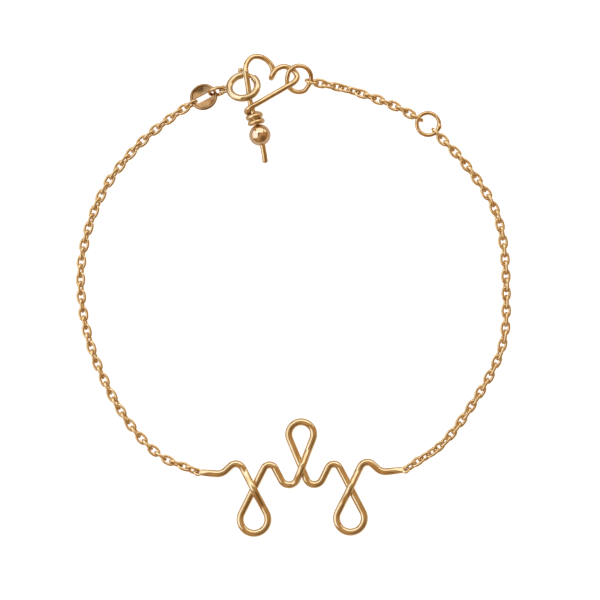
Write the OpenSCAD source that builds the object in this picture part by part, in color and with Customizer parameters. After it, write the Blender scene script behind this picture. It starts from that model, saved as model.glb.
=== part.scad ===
// Chain bracelet, lying closed on a table. A bent wire ornament joins two stretches of cable
// chain. Behind it a spring ring, a heart of bent wire and a short adjusting chain close the loop.
// The origin is the middle of the loop on the table top, +Y runs from the ornament to the clasp
// and +Z is up. Sizes are in millimetres, angles in degrees counted from +X.

/* [Chain] */
// Thickness of the wire of a chain link
link_wire = 0.33; // [0.31:0.01:0.34]
// Outer width of a chain link
link_w = 1.4; // [1.39:0.01:1.42]
// Largest distance from one chain link to the next
link_pitch = 1.23; // [1.22:0.01:1.24]
// Play between two chain links, along the chain
link_play = 0.17; // [0.16:0.01:0.18]

/* [Ornament] */
// Thickness of the ornament's wire
scroll_d = 1; // [0.9:0.05:1.05]
// Bend radius of the tall middle loop
middle_loop_r = 1.75; // [1.7:0.05:1.8]
// Bend radius of the two loops that hang at its sides
side_loop_r = 1.95; // [1.85:0.05:2]
// Thickness of the flattened ends
eye_t = 0.38; // [0.34:0.01:0.4]
// Diameter of the hole through each flattened end
eye_hole_d = 0.66; // [0.64:0.01:0.68]

/* [Clasp] */
// Outer diameter of the spring ring
clasp_d = 4.95; // [4.85:0.05:5]
// Thickness of the spring ring's tube
tube_d = 0.98; // [0.96:0.01:1]
// Lean of the spring ring out of the flat
clasp_lean = 33; // [31:1:34]
// Diameter of the knob that opens the clasp
knob_d = 0.74; // [0.7:0.01:0.75]
// Outer length of the link between tag and spring ring
clasp_link_l = 2.5; // [2.45:0.05:2.55]
// Thickness of that link's wire
clasp_link_wire = 0.42; // [0.4:0.01:0.43]

/* [Tag] */
// Diameter of the slotted tag
tag_d = 3.9; // [3.85:0.05:3.95]
// Thickness of the tag's sheet
tag_t = 0.28; // [0.26:0.01:0.3]
// Length of the tag's slot
slot_l = 3.1; // [3.06:0.02:3.14]
// Width of the tag's slot
slot_w = 0.9; // [0.88:0.01:0.92]

/* [Heart and bead] */
// Thickness of the heart's wire
heart_d = 0.76; // [0.72:0.02:0.78]
// Diameter of the bead
bead_d = 3; // [2.9:0.05:3.05]

/* [Rings] */
// Thickness of the adjusting ring's wire
ring_wire = 0.48; // [0.46:0.01:0.5]
// Thickness of the jump ring's wire
jump_wire = 0.55; // [0.53:0.01:0.56]
// Outer diameter of the adjusting ring
adjuster_d = 3.64; // [3.6:0.02:3.7]
// Outer width of the jump ring on the heart
jump_w = 3.84; // [3.75:0.05:3.9]
// Outer length of the jump ring, which has been pulled a little oval
jump_l = 4.4; // [4.3:0.05:4.45]

/* [Hidden] */
$fn = 48;

gold = "goldenrod";
pale_gold = "khaki";
old_gold = "darkgoldenrod";

// Height of the chain's middle line above the table
chain_z = 0.73;
// Small gap between two pieces that hold each other
seat_gap = 0.06;
// Gap between a chain link and the ring wire that it pulls on
ring_gap = 0.22;
// Length of a chain link along the middle of its wire
link_l = link_pitch + link_wire + link_play;
// Bend radius at the ends of a link, as a share of half its width
end_share = 0.88;
// Roll of every second link, nearly flat, and of the links between them, on edge
flat_roll = 12;
steep_roll = -70;
// How far the roll wanders along the chain, and how fast
roll_sway = 7;
roll_sway_step = 47;
// Number of links over which a chain twists into the roll that its end needs
twist_links = 8;
// Step along the chain's path
lay_step = 0.3;

// Lay of the three chains: [angle around the loop, distance from its middle, height]
// The points at the pieces that hold the chains are worked out further down
LAY_RIGHT = [[-47, 29.6, chain_z], [-38, 29.44, chain_z], [-16, 29.94, chain_z],
    [-2, 29.58, chain_z], [21, 30.26, chain_z], [38, 29.8, chain_z]];
LAY_EXTENSION = [[60, 29.62, chain_z], [74, 29.3, chain_z]];
LAY_LEFT = [[123, 29.98, chain_z + 0.16], [136, 30.05, chain_z], [152, 30.33, chain_z],
    [168, 30.24, chain_z], [180, 29.98, chain_z], [193, 29.61, chain_z], [206, 29.42, chain_z],
    [218, 29.6, chain_z], [226, 29.72, chain_z], [232, 29.6, chain_z]];

// Ornament: middle of its span on the plan, and its small turn against the X axis
scroll_at = [0.92, -25.03];
scroll_turn = 0.7;
// Bends of one half, from the top of the middle loop outwards: [bend radius, turn, straight run]
middle_turn = 112;
side_turn = 234;
HALF_BENDS = [[middle_loop_r, -middle_turn, 6.1], [1.2, -131, 1.9], [0.9, 126, 7],
    [side_loop_r, side_turn, 7.1], [1.1, 106, 0.9], [1.7, -49, 2.15]];
SIDE_LOOP_ROW = 3;
// Clear space between two strands that cross, and half the length of the hump over a crossing
cross_gap = 0.08;
hump_run = 3;
// Length over which the wire flattens towards its eye, how far behind the middle of the hole
// the round wire ends, and the metal left around the hole
flatten_run = 1.8;
eye_back = 0.45;
eye_rim = 0.26;
// Width and thickness of the flattened wire at its eye, as shares of the eye's radius and thickness
flat_w_share = 0.8;
flat_h_share = 0.47;
// Roll of the flattened ends, which lets the steep links in their holes pass freely
eye_roll = 30;
// How far a link's wire lies from the middle of an eye's hole, towards the end of the eye
eye_link_shift = 0.035;
// How far an eye is turned from the wire's heading to its link's, as a share
eye_turn = 0.7;
scroll_sides = 10;
bend_step = 17;
run_step = 0.6;

// Adjusting ring: middle on the plan, roll about the chain, and its drop of solder
adjuster_at = [18.62, 23.52, chain_z + 0.02];
adjuster_roll = 8;
solder_d = 0.76;
solder_angle = -14;
// Roll of the links that hold the ornament's eyes, the adjusting ring and the jump ring
eye_link_roll = 52;
adjuster_link_roll = -80;
jump_link_roll = 66;

// Jump ring: its middle, the side that stands high, and how steeply
jump_at = [0.56, 29.82, 0.98];
jump_high_side = 78;
jump_lean = 20;

// Spring ring: its middle, and the side that stands high
clasp_at = [-7.22, 28.7, 1.95];
clasp_high_side = -75;
tube_ring_r = (clasp_d - tube_d) / 2;
// Opening of the tube, from the closed end to the end with the bore
gap_from = 47;
gap_to = 95;
// Gate: its wire, the gap before the closed end, how far it reaches into the bore, its travel
gate_d = 0.62;
gate_play = 0.05;
gate_start = gap_from + 1.5;
gate_end = 140;
gate_travel = 45;
bore_end = gate_end + gate_travel + 3;
// Knob: its angle, its distance from the middle of the ring, its stem, and the slot for the stem
knob_angle = 101;
knob_reach = 2.85;
stem_d = 0.4;
stem_play = 0.08;
// How far a cut runs on past the end that it opens, in degrees
cut_over = 1;
// Eyelet soldered to the tube: its angle, wire, hole and distance from the tube
eyelet_angle = 186;
eyelet_wire = 0.36;
eyelet_hole_r = clasp_link_wire / 2 + 2 * seat_gap;
eyelet_r = eyelet_hole_r + eyelet_wire / 2;
eyelet_out = 0.3;

// Link between tag and spring ring: its width, its heading towards the tag, its fall and roll
clasp_link_w = 2.1;
clasp_link_heading = 197;
clasp_link_fall = 17;
clasp_link_roll = -58;

// Tag: heading of its slot towards the chain, its dish, and its roll about the slot
tag_heading = 208;
tag_dish_r = 6.5;
tag_roll = 20;
// Slack of the clasp link in the slot, measured from the slot's end
slot_slack = 0.3;
tag_link_gap = 0.2;
tag_link_roll = -66;

// Heart wire: heading of its straight shank from the bead upwards, and its height
shank_heading = 106.4;
shank_z = bead_d / 2;
bead_at = [-4.92, 21.95, shank_z];
bead_hole_d = heart_d + 0.18;
// Windings round the shank: distance of the first from the bead's middle, their radius,
// and rows of [turns from the start, distance moved towards the bead]
winding_at = 4.1;
winding_r = heart_d + 0.1;
WINDINGS = [[0, 0], [0.25, 0.46], [0.75, 1.4], [1.25, 1.34], [1.75, 2.28], [2.25, 2.2]];
winding_step = 30;
heart_sides = 8;
heart_step = 0.45;
// Tail below the bead, from its tip upwards: [x, y, height]
TAIL_BENDS = [[-4.15, 18.06, 1.02], [-4.3, 19.2, 1.26], [-4.48, 20.2, 1.44]];
// Heart above the shank: [x, y, height], up the left side and round both lobes
HEART_BENDS = [[-6.24, 26.45, 1.52], [-6.58, 28.9, 1.6], [-6.8, 30.4, 1.78],
    [-6.9, 31.3, 1.62], [-6.66, 32.15, 1.36], [-5.95, 32.86, 1.05], [-5.04, 32.96, 0.78],
    [-4.18, 32.64, 0.58], [-3.46, 31.98, 0.47], [-3.1, 31.16, 0.44], [-3.14, 30.4, 0.44],
    [-3.34, 29.96, 0.86], [-3.12, 30.42, 1.27], [-2.58, 31.16, 1.16], [-1.66, 31.56, 0.86],
    [-0.7, 31.34, 0.62], [0.05, 30.74, 0.64], [0.3, 30.06, 0.86], [-0.05, 29.42, 1.14],
    [-1.4, 28.58, 1.44], [-3.5, 27.34, 1.92], [-5.2, 26.34, 2.26]];

// Small maths
function unit(v) = v / norm(v);
function plan(a) = [cos(a), sin(a), 0];
function ease(a, b, t) = a + (b - a) * (1 - cos(180 * t)) / 2;
function last(list) = list[len(list) - 1];
function turned_flat(p, a) = [p.x * cos(a) - p.y * sin(a), p.x * sin(a) + p.y * cos(a)];
// Point of a lay table's row
function lay_point(row) = row[1] * plan(row[0]) + [0, 0, row[2]];
function heading_to(from, row) =
    let (to = lay_point(row)) atan2(to.y - from.y, to.x - from.x);
// Middles of the first two links at a holder: where the first one lies, and the way it points
function held_links(first, way) = [first, first + link_pitch * way];
// The same for a chain that leaves a holder's middle towards a row, its first link a distance out
function links_out_of(holder, row, out) =
    let (way = unit(lay_point(row) - holder)) held_links(holder + out * way, way);
function reversed(list) = [for (i = [len(list) - 1 : -1 : 0]) list[i]];
// Point of a ring that leans, at an angle round it and a distance from its middle
function on_leaning_ring(middle, high_side, lean, angle, r) =
    let (along = cos(angle - high_side), across = sin(angle - high_side))
    middle + r * (along * cos(lean) * plan(high_side) + across * plan(high_side + 90)
        + [0, 0, along * sin(lean)]);

// Smooth curve through points, with knots spaced by the square root of their distance
function knot_gap(a, b) = sqrt(norm(b - a));
function blend_at(a, b, ta, tb, t) = ((tb - t) * a + (t - ta) * b) / (tb - ta);
function curve_point(p, k, t) =
    let (a1 = blend_at(p[0], p[1], k[0], k[1], t), a2 = blend_at(p[1], p[2], k[1], k[2], t),
        a3 = blend_at(p[2], p[3], k[2], k[3], t), b1 = blend_at(a1, a2, k[0], k[2], t),
        b2 = blend_at(a2, a3, k[1], k[3], t))
    blend_at(b1, b2, k[1], k[2], t);
function curve_span(p, step) =
    let (k1 = knot_gap(p[0], p[1]), k2 = k1 + knot_gap(p[1], p[2]), k3 = k2 + knot_gap(p[2], p[3]),
        steps = ceil(norm(p[2] - p[1]) / step))
    [for (i = [0 : steps - 1]) curve_point(p, [0, k1, k2, k3], k1 + (k2 - k1) * i / steps)];
function curve(points, step) =
    let (before = 2 * points[0] - points[1], after = 2 * last(points) - points[len(points) - 2],
        ends = concat([before], points, [after]))
    concat([for (i = [0 : len(points) - 2]) each curve_span([for (k = [0 : 3]) ends[i + k]], step)],
        [last(points)]);

// Chain paths
function running_length(points) =
    [for (i = 0, s = 0; i < len(points);
        s = s + norm(points[min(i + 1, len(points) - 1)] - points[i]), i = i + 1) s];
// Middles of the links, evenly spread over the whole path
function link_middles(path) =
    let (run = running_length(path), steps = ceil(last(run) / link_pitch))
    [for (k = [0 : steps]) [for (axis = [0 : 2])
        lookup(last(run) * k / steps, [for (i = [0 : len(run) - 1]) [run[i], path[i][axis]]])]];
// Roll of a link: flat and steep in turn, counted from a first link that is flat or steep
function base_roll(k, flat_first) = (k % 2 == 0) == flat_first ? flat_roll : steep_roll;
function twist_to(target, base) = let (a = target - base) a - 180 * round(a / 180);
function fade(k) = max(0, 1 - k / twist_links);
function link_roll(k, end, roll_first, roll_last) =
    let (flat_first = abs(roll_first) < 60)
    base_roll(k, flat_first)
    + twist_to(roll_first, base_roll(0, flat_first)) * fade(k)
    + twist_to(roll_last, base_roll(end, flat_first)) * fade(end - k)
    + roll_sway * sin(roll_sway_step * k) * (1 - fade(k)) * (1 - fade(end - k));

// Places that the pieces share
eyelet_at = on_leaning_ring(clasp_at, clasp_high_side, clasp_lean, eyelet_angle,
    clasp_d / 2 + eyelet_out);
clasp_link_dir = cos(clasp_link_fall) * plan(clasp_link_heading) - [0, 0, sin(clasp_link_fall)];
clasp_link_at = eyelet_at + (clasp_link_l - clasp_link_wire) / 2 * clasp_link_dir;
slot_hook = eyelet_at + (clasp_link_l - clasp_link_wire) * clasp_link_dir;
tag_land_z = tag_dish_r - sqrt(pow(tag_dish_r - tag_t / 2, 2) - pow((tag_d + slot_l) / 4, 2));
tag_up = cos(tag_roll) * [0, 0, 1] - sin(tag_roll) * plan(tag_heading + 90);
tag_at = slot_hook + (slot_l / 2 - clasp_link_wire / 2 - slot_slack) * plan(tag_heading)
    - tag_land_z * tag_up;
tag_link_hold = tag_at + (slot_l / 2 - tag_link_gap - link_wire / 2) * plan(tag_heading)
    + tag_land_z * tag_up;
function ring_link_out(wire) = link_l / 2 - link_wire / 2 - wire / 2 - ring_gap;
adjuster_heading = atan2(adjuster_at.y, adjuster_at.x) + 90;
adjuster_link_r = (adjuster_d - ring_wire) / 2 + ring_link_out(ring_wire);
jump_link_at = on_leaning_ring(jump_at, jump_high_side, jump_lean, jump_high_side - 90,
    (jump_w - jump_wire) / 2 + ring_link_out(jump_wire));

// Ornament path: points [x, y, heading, length so far]
function bend_points(from, r, turn) =
    let (side = sign(turn), steps = ceil(abs(turn) / bend_step),
        middle = [from[0] - side * r * sin(from[2]), from[1] + side * r * cos(from[2])])
    [for (k = [0 : steps]) let (h = from[2] + turn * k / steps)
        [middle[0] + side * r * sin(h), middle[1] - side * r * cos(h), h,
            from[3] + r * abs(turn) * k / steps * PI / 180]];
function run_points(from, run) =
    let (steps = ceil(run / run_step))
    [for (k = [1 : steps]) let (d = run * k / steps)
        [from[0] + d * cos(from[2]), from[1] + d * sin(from[2]), from[2], from[3] + d]];
function walk(rows, i = 0, from = [0, 0, 0, 0]) =
    let (bend = bend_points(from, rows[i][0], rows[i][1]), run = run_points(last(bend), rows[i][2]))
    concat([for (k = [(i == 0 ? 0 : 1) : len(bend) - 1]) bend[k]], run,
        i == len(rows) - 1 ? [] : walk(rows, i + 1, last(run)));
function row_length(row) = row[0] * abs(row[1]) * PI / 180 + row[2];
function sum_to(rows, end) = end == 0 ? 0 : row_length(rows[end - 1]) + sum_to(rows, end - 1);
half_walk = walk(HALF_BENDS);
half_length = last(half_walk)[3];
eye_drop = last(half_walk)[1] + eye_back * sin(last(half_walk)[2]);
eye_reach = -last(half_walk)[0] - eye_back * cos(last(half_walk)[2]);
// Where the strands cross, measured along the wire from the top of the middle loop
middle_cross = middle_loop_r * (middle_turn * PI / 180 + tan(180 - middle_turn));
side_cross = sum_to(HALF_BENDS, SIDE_LOOP_ROW)
    + side_loop_r * (side_turn * PI / 180 + tan(180 - side_turn / 2));
function hump(d) = abs(d) < hump_run ? (1 + cos(180 * d / hump_run)) / 2 : 0;
function flatness(s) = ease(0, 1, max(0, min(1, (s - half_length + flatten_run) / flatten_run)));
function strand_z(s, over) =
    scroll_d / 2 + (scroll_d + cross_gap) * (hump(s - side_cross) + (over ? hump(s - middle_cross) : 0))
    + flatness(s) * (chain_z - scroll_d / 2);
function strand_point(w, side) =
    concat(scroll_at + turned_flat([side * w[0], w[1] - eye_drop], scroll_turn),
        strand_z(w[3], side > 0));
scroll_walk = concat([for (i = [len(half_walk) - 1 : -1 : 1]) [half_walk[i], -1]],
    [for (w = half_walk) [w, 1]]);
scroll_points = [for (s = scroll_walk) strand_point(s[0], s[1])];
eye_r = eye_hole_d / 2 + eye_rim;
eye_left = concat(scroll_at + turned_flat([-eye_reach, 0], scroll_turn), chain_z);
eye_right = concat(scroll_at + turned_flat([eye_reach, 0], scroll_turn), chain_z);
// Distance from an eye's hole to the middle of the link in it
eye_link_out = link_l / 2 - eye_link_shift;
// Headings of the eyes, turned from the wire's ends towards the links in them
end_heading = last(half_walk)[2];
function eye_heading(wire, link) = wire + eye_turn * (link - wire);
eye_heading_left = eye_heading(end_heading + scroll_turn, heading_to(eye_left, last(LAY_LEFT)));
eye_heading_right =
    eye_heading(180 - end_heading + scroll_turn, heading_to(eye_right, LAY_RIGHT[0]));
// Direction across the wire, which the flattening rolls out of the flat
function rolled_side(along, flat) =
    let (level = unit(cross(along, [0, 0, 1]))) cos(eye_roll * flat) * level - [0, 0, sin(eye_roll * flat)];

// Heart path
shank_dir = plan(shank_heading);
shank_side = plan(shank_heading + 90);
function shank_point(d) = bead_at + d * shank_dir;
function winding_point(turns) =
    shank_point(winding_at - lookup(turns, WINDINGS))
    + winding_r * (cos(360 * turns) * [0, 0, 1] + sin(360 * turns) * shank_side);
heart_frame = concat(TAIL_BENDS, [for (d = [-1.2, 0, 1.2, 2.4, 3.6]) shank_point(d)], HEART_BENDS,
    [for (a = [0 : winding_step : 360 * last(WINDINGS)[0]]) winding_point(a / 360)]);
heart_points = curve(heart_frame, heart_step);

// Tubes along a path
function tangents(points) =
    [for (i = [0 : len(points) - 1])
        unit(points[min(i + 1, len(points) - 1)] - points[max(i - 1, 0)])];
// Directions across the path that turn as little as they can from one point to the next
function carried_sides(along) =
    [for (i = 0, v = unit(cross(along[0], [0, 0, 1])); i < len(along);
        i = i + 1, v = i < len(along) ? unit(v - (v * along[i]) * along[i]) : v) v];

// Closed tube: sides across the path, and half its width and half its height at each point
module tube(points, sides_across, half_w, half_h, sides) {
    along = tangents(points);
    end = len(points) - 1;
    corners = [for (i = [0 : end]) for (k = [0 : sides - 1]) let (a = 360 * (k + 0.5) / sides)
        points[i] + half_w[i] * cos(a) * sides_across[i]
            + half_h[i] * sin(a) * cross(sides_across[i], along[i])];
    walls = [for (i = [0 : end - 1]) for (k = [0 : sides - 1]) let (n = (k + 1) % sides)
        each [[i * sides + k, i * sides + n, (i + 1) * sides + n],
            [i * sides + k, (i + 1) * sides + n, (i + 1) * sides + k]]];
    caps = [for (k = [1 : sides - 2])
        each [[0, k + 1, k], [end * sides, end * sides + k, end * sides + k + 1]]];
    polyhedron(corners, concat(walls, caps));
}

// Oval link of round wire, lying flat with its length along X: two tight bends and two wide ones
module oval_link(wire, w, l) {
    half_l = (l - wire) / 2;
    half_w = (w - wire) / 2;
    end_r = end_share * half_w;
    side_r = (pow(half_l - end_r, 2) + pow(half_w, 2) - pow(end_r, 2)) / 2 / (half_w - end_r);
    side_angle = atan2(half_l - end_r, side_r - half_w);
    for (side = [-1, 1]) {
        translate([side * (half_l - end_r), 0, 0])
            bent_bar(wire, end_r, -90 * side + side_angle, -90 * side + 180 - side_angle);
        translate([0, -side * (side_r - half_w), 0])
            bent_bar(wire, side_r, 90 * side - side_angle, 90 * side + side_angle);
    }
}

// Ring of round wire with straight sides, lying flat with its length along X
module long_ring(wire, w, l) {
    r = (w - wire) / 2;
    for (side = [-1, 1]) {
        translate([side * (l - w) / 2, 0, 0])
            bent_bar(wire, r, -90 * side, 180 - 90 * side);
        translate([0, side * r, 0])
            rotate([0, 90, 0])
                cylinder(h = l - w, d = wire, center = true);
    }
}

module round_ring(wire, d) {
    rotate_extrude()
        translate([(d - wire) / 2, 0])
            circle(d = wire);
}

// Stretch of round bar bent round the Z axis, from one angle to another
module bent_bar(d, r, from, to) {
    rotate([0, 0, from])
        rotate_extrude(angle = to - from)
            translate([r, 0])
                circle(d = d);
}

// Child laid along a direction and rolled about it
module aim(at, direction, roll) {
    translate(at)
        rotate([0, -asin(direction.z), atan2(direction.y, direction.x)])
            rotate([roll, 0, 0])
                children();
}

// Child tipped so that one side stands high, with its angles still read from +X
module lean(at, high_side, angle) {
    translate(at)
        rotate([0, 0, high_side])
            rotate([0, -angle, 0])
                rotate([0, 0, -high_side])
                    children();
}

// Chain from the links held at its start, over the rows of a lay table, to those held at its end
module chain(start, rows, finish, roll_first, roll_last) {
    path = concat(start, [for (row = rows) lay_point(row)], reversed(finish));
    middles = link_middles(curve(path, lay_step));
    along = tangents(middles);
    end = len(middles) - 1;
    for (k = [0 : end])
        aim(middles[k], along[k], link_roll(k, end, roll_first, roll_last))
            oval_link(link_wire, link_w, link_l + link_wire);
}

module scroll_wire() {
    along = tangents(scroll_points);
    flat = [for (s = scroll_walk) flatness(s[0][3])];
    across = [for (i = [0 : len(flat) - 1]) rolled_side(along[i], flat[i])];
    half_w = [for (f = flat) scroll_d / 2 + f * (flat_w_share * eye_r - scroll_d / 2)];
    half_h = [for (f = flat) scroll_d / 2 + f * (flat_h_share * eye_t - scroll_d / 2)];
    eyes = [[eye_left, eye_heading_left], [eye_right, eye_heading_right + 180]];
    color(gold)
        difference() {
            union() {
                tube(scroll_points, across, half_w, half_h, scroll_sides);
                for (eye = eyes)
                    aim(eye[0], plan(eye[1]), eye_roll)
                        cylinder(h = eye_t, r = eye_r, center = true);
            }
            for (eye = eyes)
                aim(eye[0], plan(eye[1]), eye_roll)
                    cylinder(h = 3 * eye_t, d = eye_hole_d, center = true);
        }
}

module chain_right() {
    color(gold)
        chain(links_out_of(eye_right, LAY_RIGHT[0], eye_link_out), LAY_RIGHT,
            links_out_of(adjuster_at, last(LAY_RIGHT), adjuster_link_r),
            eye_link_roll, adjuster_link_roll);
}

module chain_extension() {
    color(gold)
        chain(links_out_of(adjuster_at, LAY_EXTENSION[0], adjuster_link_r), LAY_EXTENSION,
            held_links(jump_link_at, plan(jump_high_side - 90)), adjuster_link_roll, jump_link_roll);
}

module chain_left() {
    color(gold)
        chain(links_out_of(tag_link_hold, LAY_LEFT[0], link_l / 2), LAY_LEFT,
            links_out_of(eye_left, last(LAY_LEFT), eye_link_out), tag_link_roll, eye_link_roll);
}

module adjuster_ring() {
    color(old_gold)
        aim(adjuster_at, plan(adjuster_heading), adjuster_roll) {
            round_ring(ring_wire, adjuster_d);
            rotate([0, 0, solder_angle - adjuster_heading])
                translate([(adjuster_d - ring_wire) / 2, 0, 0])
                    sphere(d = solder_d);
        }
}

module jump_ring() {
    color(old_gold)
        lean(jump_at, jump_high_side, jump_lean)
            rotate([0, 0, jump_high_side])
                long_ring(jump_wire, jump_w, jump_l);
}

module heart_wire() {
    half = [for (p = heart_points) heart_d / 2];
    color(gold)
        tube(heart_points, carried_sides(tangents(heart_points)), half, half, heart_sides);
}

module bead() {
    color(pale_gold)
        aim(bead_at, shank_dir, 0)
            difference() {
                sphere(d = bead_d);
                rotate([0, 90, 0])
                    cylinder(h = 2 * bead_d, d = bead_hole_d, center = true);
            }
}

module spring_ring() {
    slot_to = knob_angle + gate_travel + asin(stem_d / 2 / tube_ring_r) + cut_over;
    color(pale_gold)
        lean(clasp_at, clasp_high_side, clasp_lean)
            difference() {
                union() {
                    bent_bar(tube_d, tube_ring_r, gap_to, gap_from + 360);
                    rotate([0, 0, eyelet_angle])
                        translate([clasp_d / 2 + eyelet_out, 0, 0])
                            round_ring(eyelet_wire, 2 * eyelet_r + eyelet_wire);
                }
                bent_bar(gate_d + 2 * gate_play, tube_ring_r, gap_to - cut_over, bore_end);
                rotate([0, 0, gap_to - cut_over])
                    rotate_extrude(angle = slot_to - gap_to + cut_over)
                        translate([tube_ring_r, -stem_d / 2 - stem_play])
                            square([tube_d, stem_d + 2 * stem_play]);
            }
}

module spring_lever() {
    color(gold)
        lean(clasp_at, clasp_high_side, clasp_lean) {
            bent_bar(gate_d, tube_ring_r, gate_start, gate_end);
            rotate([0, 0, knob_angle]) {
                translate([tube_ring_r, 0, 0])
                    rotate([0, 90, 0])
                        cylinder(h = knob_reach - tube_ring_r, d = stem_d);
                translate([knob_reach, 0, 0])
                    sphere(d = knob_d);
            }
        }
}

module clasp_link() {
    color(gold)
        aim(clasp_link_at, clasp_link_dir, clasp_link_roll)
            long_ring(clasp_link_wire, clasp_link_w, clasp_link_l);
}

module tag_disc() {
    color(old_gold)
        aim(tag_at, plan(tag_heading), tag_roll)
            difference() {
                intersection() {
                    cylinder(h = tag_d / 2, d = tag_d);
                    translate([0, 0, tag_dish_r])
                        difference() {
                            sphere(r = tag_dish_r);
                            sphere(r = tag_dish_r - tag_t);
                        }
                }
                for (side = [-1, 1])
                    translate([side * (slot_l - slot_w) / 2, 0, 0])
                        cylinder(h = tag_d, d = slot_w, center = true);
                cube([slot_l - slot_w, slot_w, 2 * tag_d], center = true);
            }
}

scroll_wire();
chain_left();
chain_right();
chain_extension();
adjuster_ring();
jump_ring();
heart_wire();
bead();
spring_ring();
spring_lever();
clasp_link();
tag_disc();
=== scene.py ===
"""Looks of a chain bracelet that lies closed on a pale table, seen from straight above.

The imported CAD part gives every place. The wires, rings and links are made again here as smooth
meshes on the same middle lines, with rounded ends and edges, and get polished gold materials.
"""

from math import asin, atan2, ceil, cos, degrees, pi, radians, sin, sqrt, tan

import bmesh
import bpy
import numpy as np
from mathutils import Matrix, Vector


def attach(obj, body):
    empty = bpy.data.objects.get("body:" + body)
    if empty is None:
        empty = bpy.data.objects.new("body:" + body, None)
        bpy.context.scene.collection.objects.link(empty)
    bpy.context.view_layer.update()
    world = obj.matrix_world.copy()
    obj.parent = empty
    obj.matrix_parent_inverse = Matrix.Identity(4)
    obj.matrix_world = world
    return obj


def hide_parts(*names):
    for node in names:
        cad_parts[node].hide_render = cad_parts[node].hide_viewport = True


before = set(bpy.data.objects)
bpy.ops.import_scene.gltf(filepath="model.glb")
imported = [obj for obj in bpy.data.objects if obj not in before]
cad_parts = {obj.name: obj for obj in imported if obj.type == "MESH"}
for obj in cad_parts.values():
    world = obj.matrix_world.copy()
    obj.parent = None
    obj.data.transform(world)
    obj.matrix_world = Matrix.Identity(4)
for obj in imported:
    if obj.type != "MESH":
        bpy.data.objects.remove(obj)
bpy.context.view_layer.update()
MM, UM = 0.001, 1e-6
UP = np.array((0.0, 0.0, 1.0))

# Sizes and places of the pieces, in millimetres and degrees, the same as in the CAD part
LINK_WIRE, LINK_W, LINK_PITCH, LINK_PLAY = 0.33, 1.4, 1.23, 0.17
LINK_L = LINK_PITCH + LINK_PLAY + 2 * LINK_WIRE
CHAIN_Z = 0.73
# Bend radius at the ends of a link, as a share of half its width
END_SHARE = 0.88
SCROLL_D, EYE_T, EYE_HOLE_D, EYE_RIM = 1.0, 0.38, 0.66, 0.26
HEART_D, BEAD_D, BEAD_HOLE_D = 0.76, 3.0, 0.94
RING_WIRE, ADJUSTER_D = 0.48, 3.64
ADJUSTER_AT, ADJUSTER_ROLL = (18.62, 23.52, CHAIN_Z + 0.02), 8
SOLDER_D, SOLDER_ANGLE = 0.76, -14
JUMP_WIRE, JUMP_W, JUMP_L = 0.55, 3.84, 4.4
JUMP_AT, JUMP_HIGH_SIDE, JUMP_LEAN = (0.56, 29.82, 0.98), 78, 20
CLASP_AT, CLASP_HIGH_SIDE, CLASP_LEAN = (-7.22, 28.7, 1.95), -75, 33
CLASP_D, TUBE_D = 4.95, 0.98
TUBE_R = (CLASP_D - TUBE_D) / 2
# Angles round the clasp: the tube's opening, the gate's two ends, and the gate's travel
GAP_FROM, GAP_TO, GATE_START, GATE_END, GATE_TRAVEL = 47, 95, 48.5, 140, 45
GATE_D, GATE_PLAY = 0.62, 0.05
KNOB_ANGLE, KNOB_REACH, KNOB_D, STEM_D, STEM_PLAY = 101, 2.85, 0.74, 0.4, 0.08
EYELET_ANGLE, EYELET_WIRE, EYELET_R, EYELET_OUT = 186, 0.36, 0.51, 0.3
CLASP_LINK_WIRE, CLASP_LINK_W, CLASP_LINK_L = 0.42, 2.1, 2.5
CLASP_LINK_HEADING, CLASP_LINK_FALL, CLASP_LINK_ROLL = 197, 17, -58
TAG_D, TAG_T, SLOT_L, SLOT_W, TAG_DISH_R = 3.9, 0.28, 3.1, 0.9, 6.5
TAG_HEADING, TAG_ROLL, SLOT_SLACK = 208, 20, 0.3

# Ornament: its place, and rows of [bend radius, turn, straight run] from the middle outwards
SCROLL_AT, SCROLL_TURN = (0.92, -25.03), 0.7
MIDDLE_R, MIDDLE_TURN, SIDE_R, SIDE_TURN = 1.75, 112, 1.95, 234
HALF_BENDS = [(MIDDLE_R, -MIDDLE_TURN, 6.1), (1.2, -131, 1.9), (0.9, 126, 7),
              (SIDE_R, SIDE_TURN, 7.1), (1.1, 106, 0.9), (1.7, -49, 2.15)]
SIDE_LOOP_ROW = 3
# Clear space at a crossing and half the length of the hump over it, the length over which an end
# flattens, and how far behind the middle of its eye the wire ends
CROSS_GAP, HUMP_RUN, FLATTEN_RUN, EYE_BACK = 0.08, 3.0, 1.8, 0.45
# Flattened ends: their width and thickness as shares of the eye's radius and thickness, their roll,
# and how far an eye turns from the wire's heading to its link's
FLAT_W_SHARE, FLAT_H_SHARE, EYE_ROLL, EYE_TURN = 0.8, 0.47, 30, 0.7

# Heart wire: straight shank through the bead, and the bends before and after it
SHANK_HEADING, BEAD_AT = 106.4, (-4.92, 21.95, BEAD_D / 2)
SHANK_STATIONS = (-1.2, 0, 1.2, 2.4, 3.6)
TAIL_BENDS = [(-4.15, 18.06, 1.02), (-4.3, 19.2, 1.26), (-4.48, 20.2, 1.44)]
HEART_BENDS = [(-6.24, 26.45, 1.52), (-6.58, 28.9, 1.6), (-6.8, 30.4, 1.78), (-6.9, 31.3, 1.62),
               (-6.66, 32.15, 1.36), (-5.95, 32.86, 1.05), (-5.04, 32.96, 0.78),
               (-4.18, 32.64, 0.58), (-3.46, 31.98, 0.47), (-3.1, 31.16, 0.44),
               (-3.14, 30.4, 0.44), (-3.34, 29.96, 0.86), (-3.12, 30.42, 1.27),
               (-2.58, 31.16, 1.16), (-1.66, 31.56, 0.86), (-0.7, 31.34, 0.62),
               (0.05, 30.74, 0.64), (0.3, 30.06, 0.86), (-0.05, 29.42, 1.14),
               (-1.4, 28.58, 1.44), (-3.5, 27.34, 1.92), (-5.2, 26.34, 2.26)]
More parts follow.
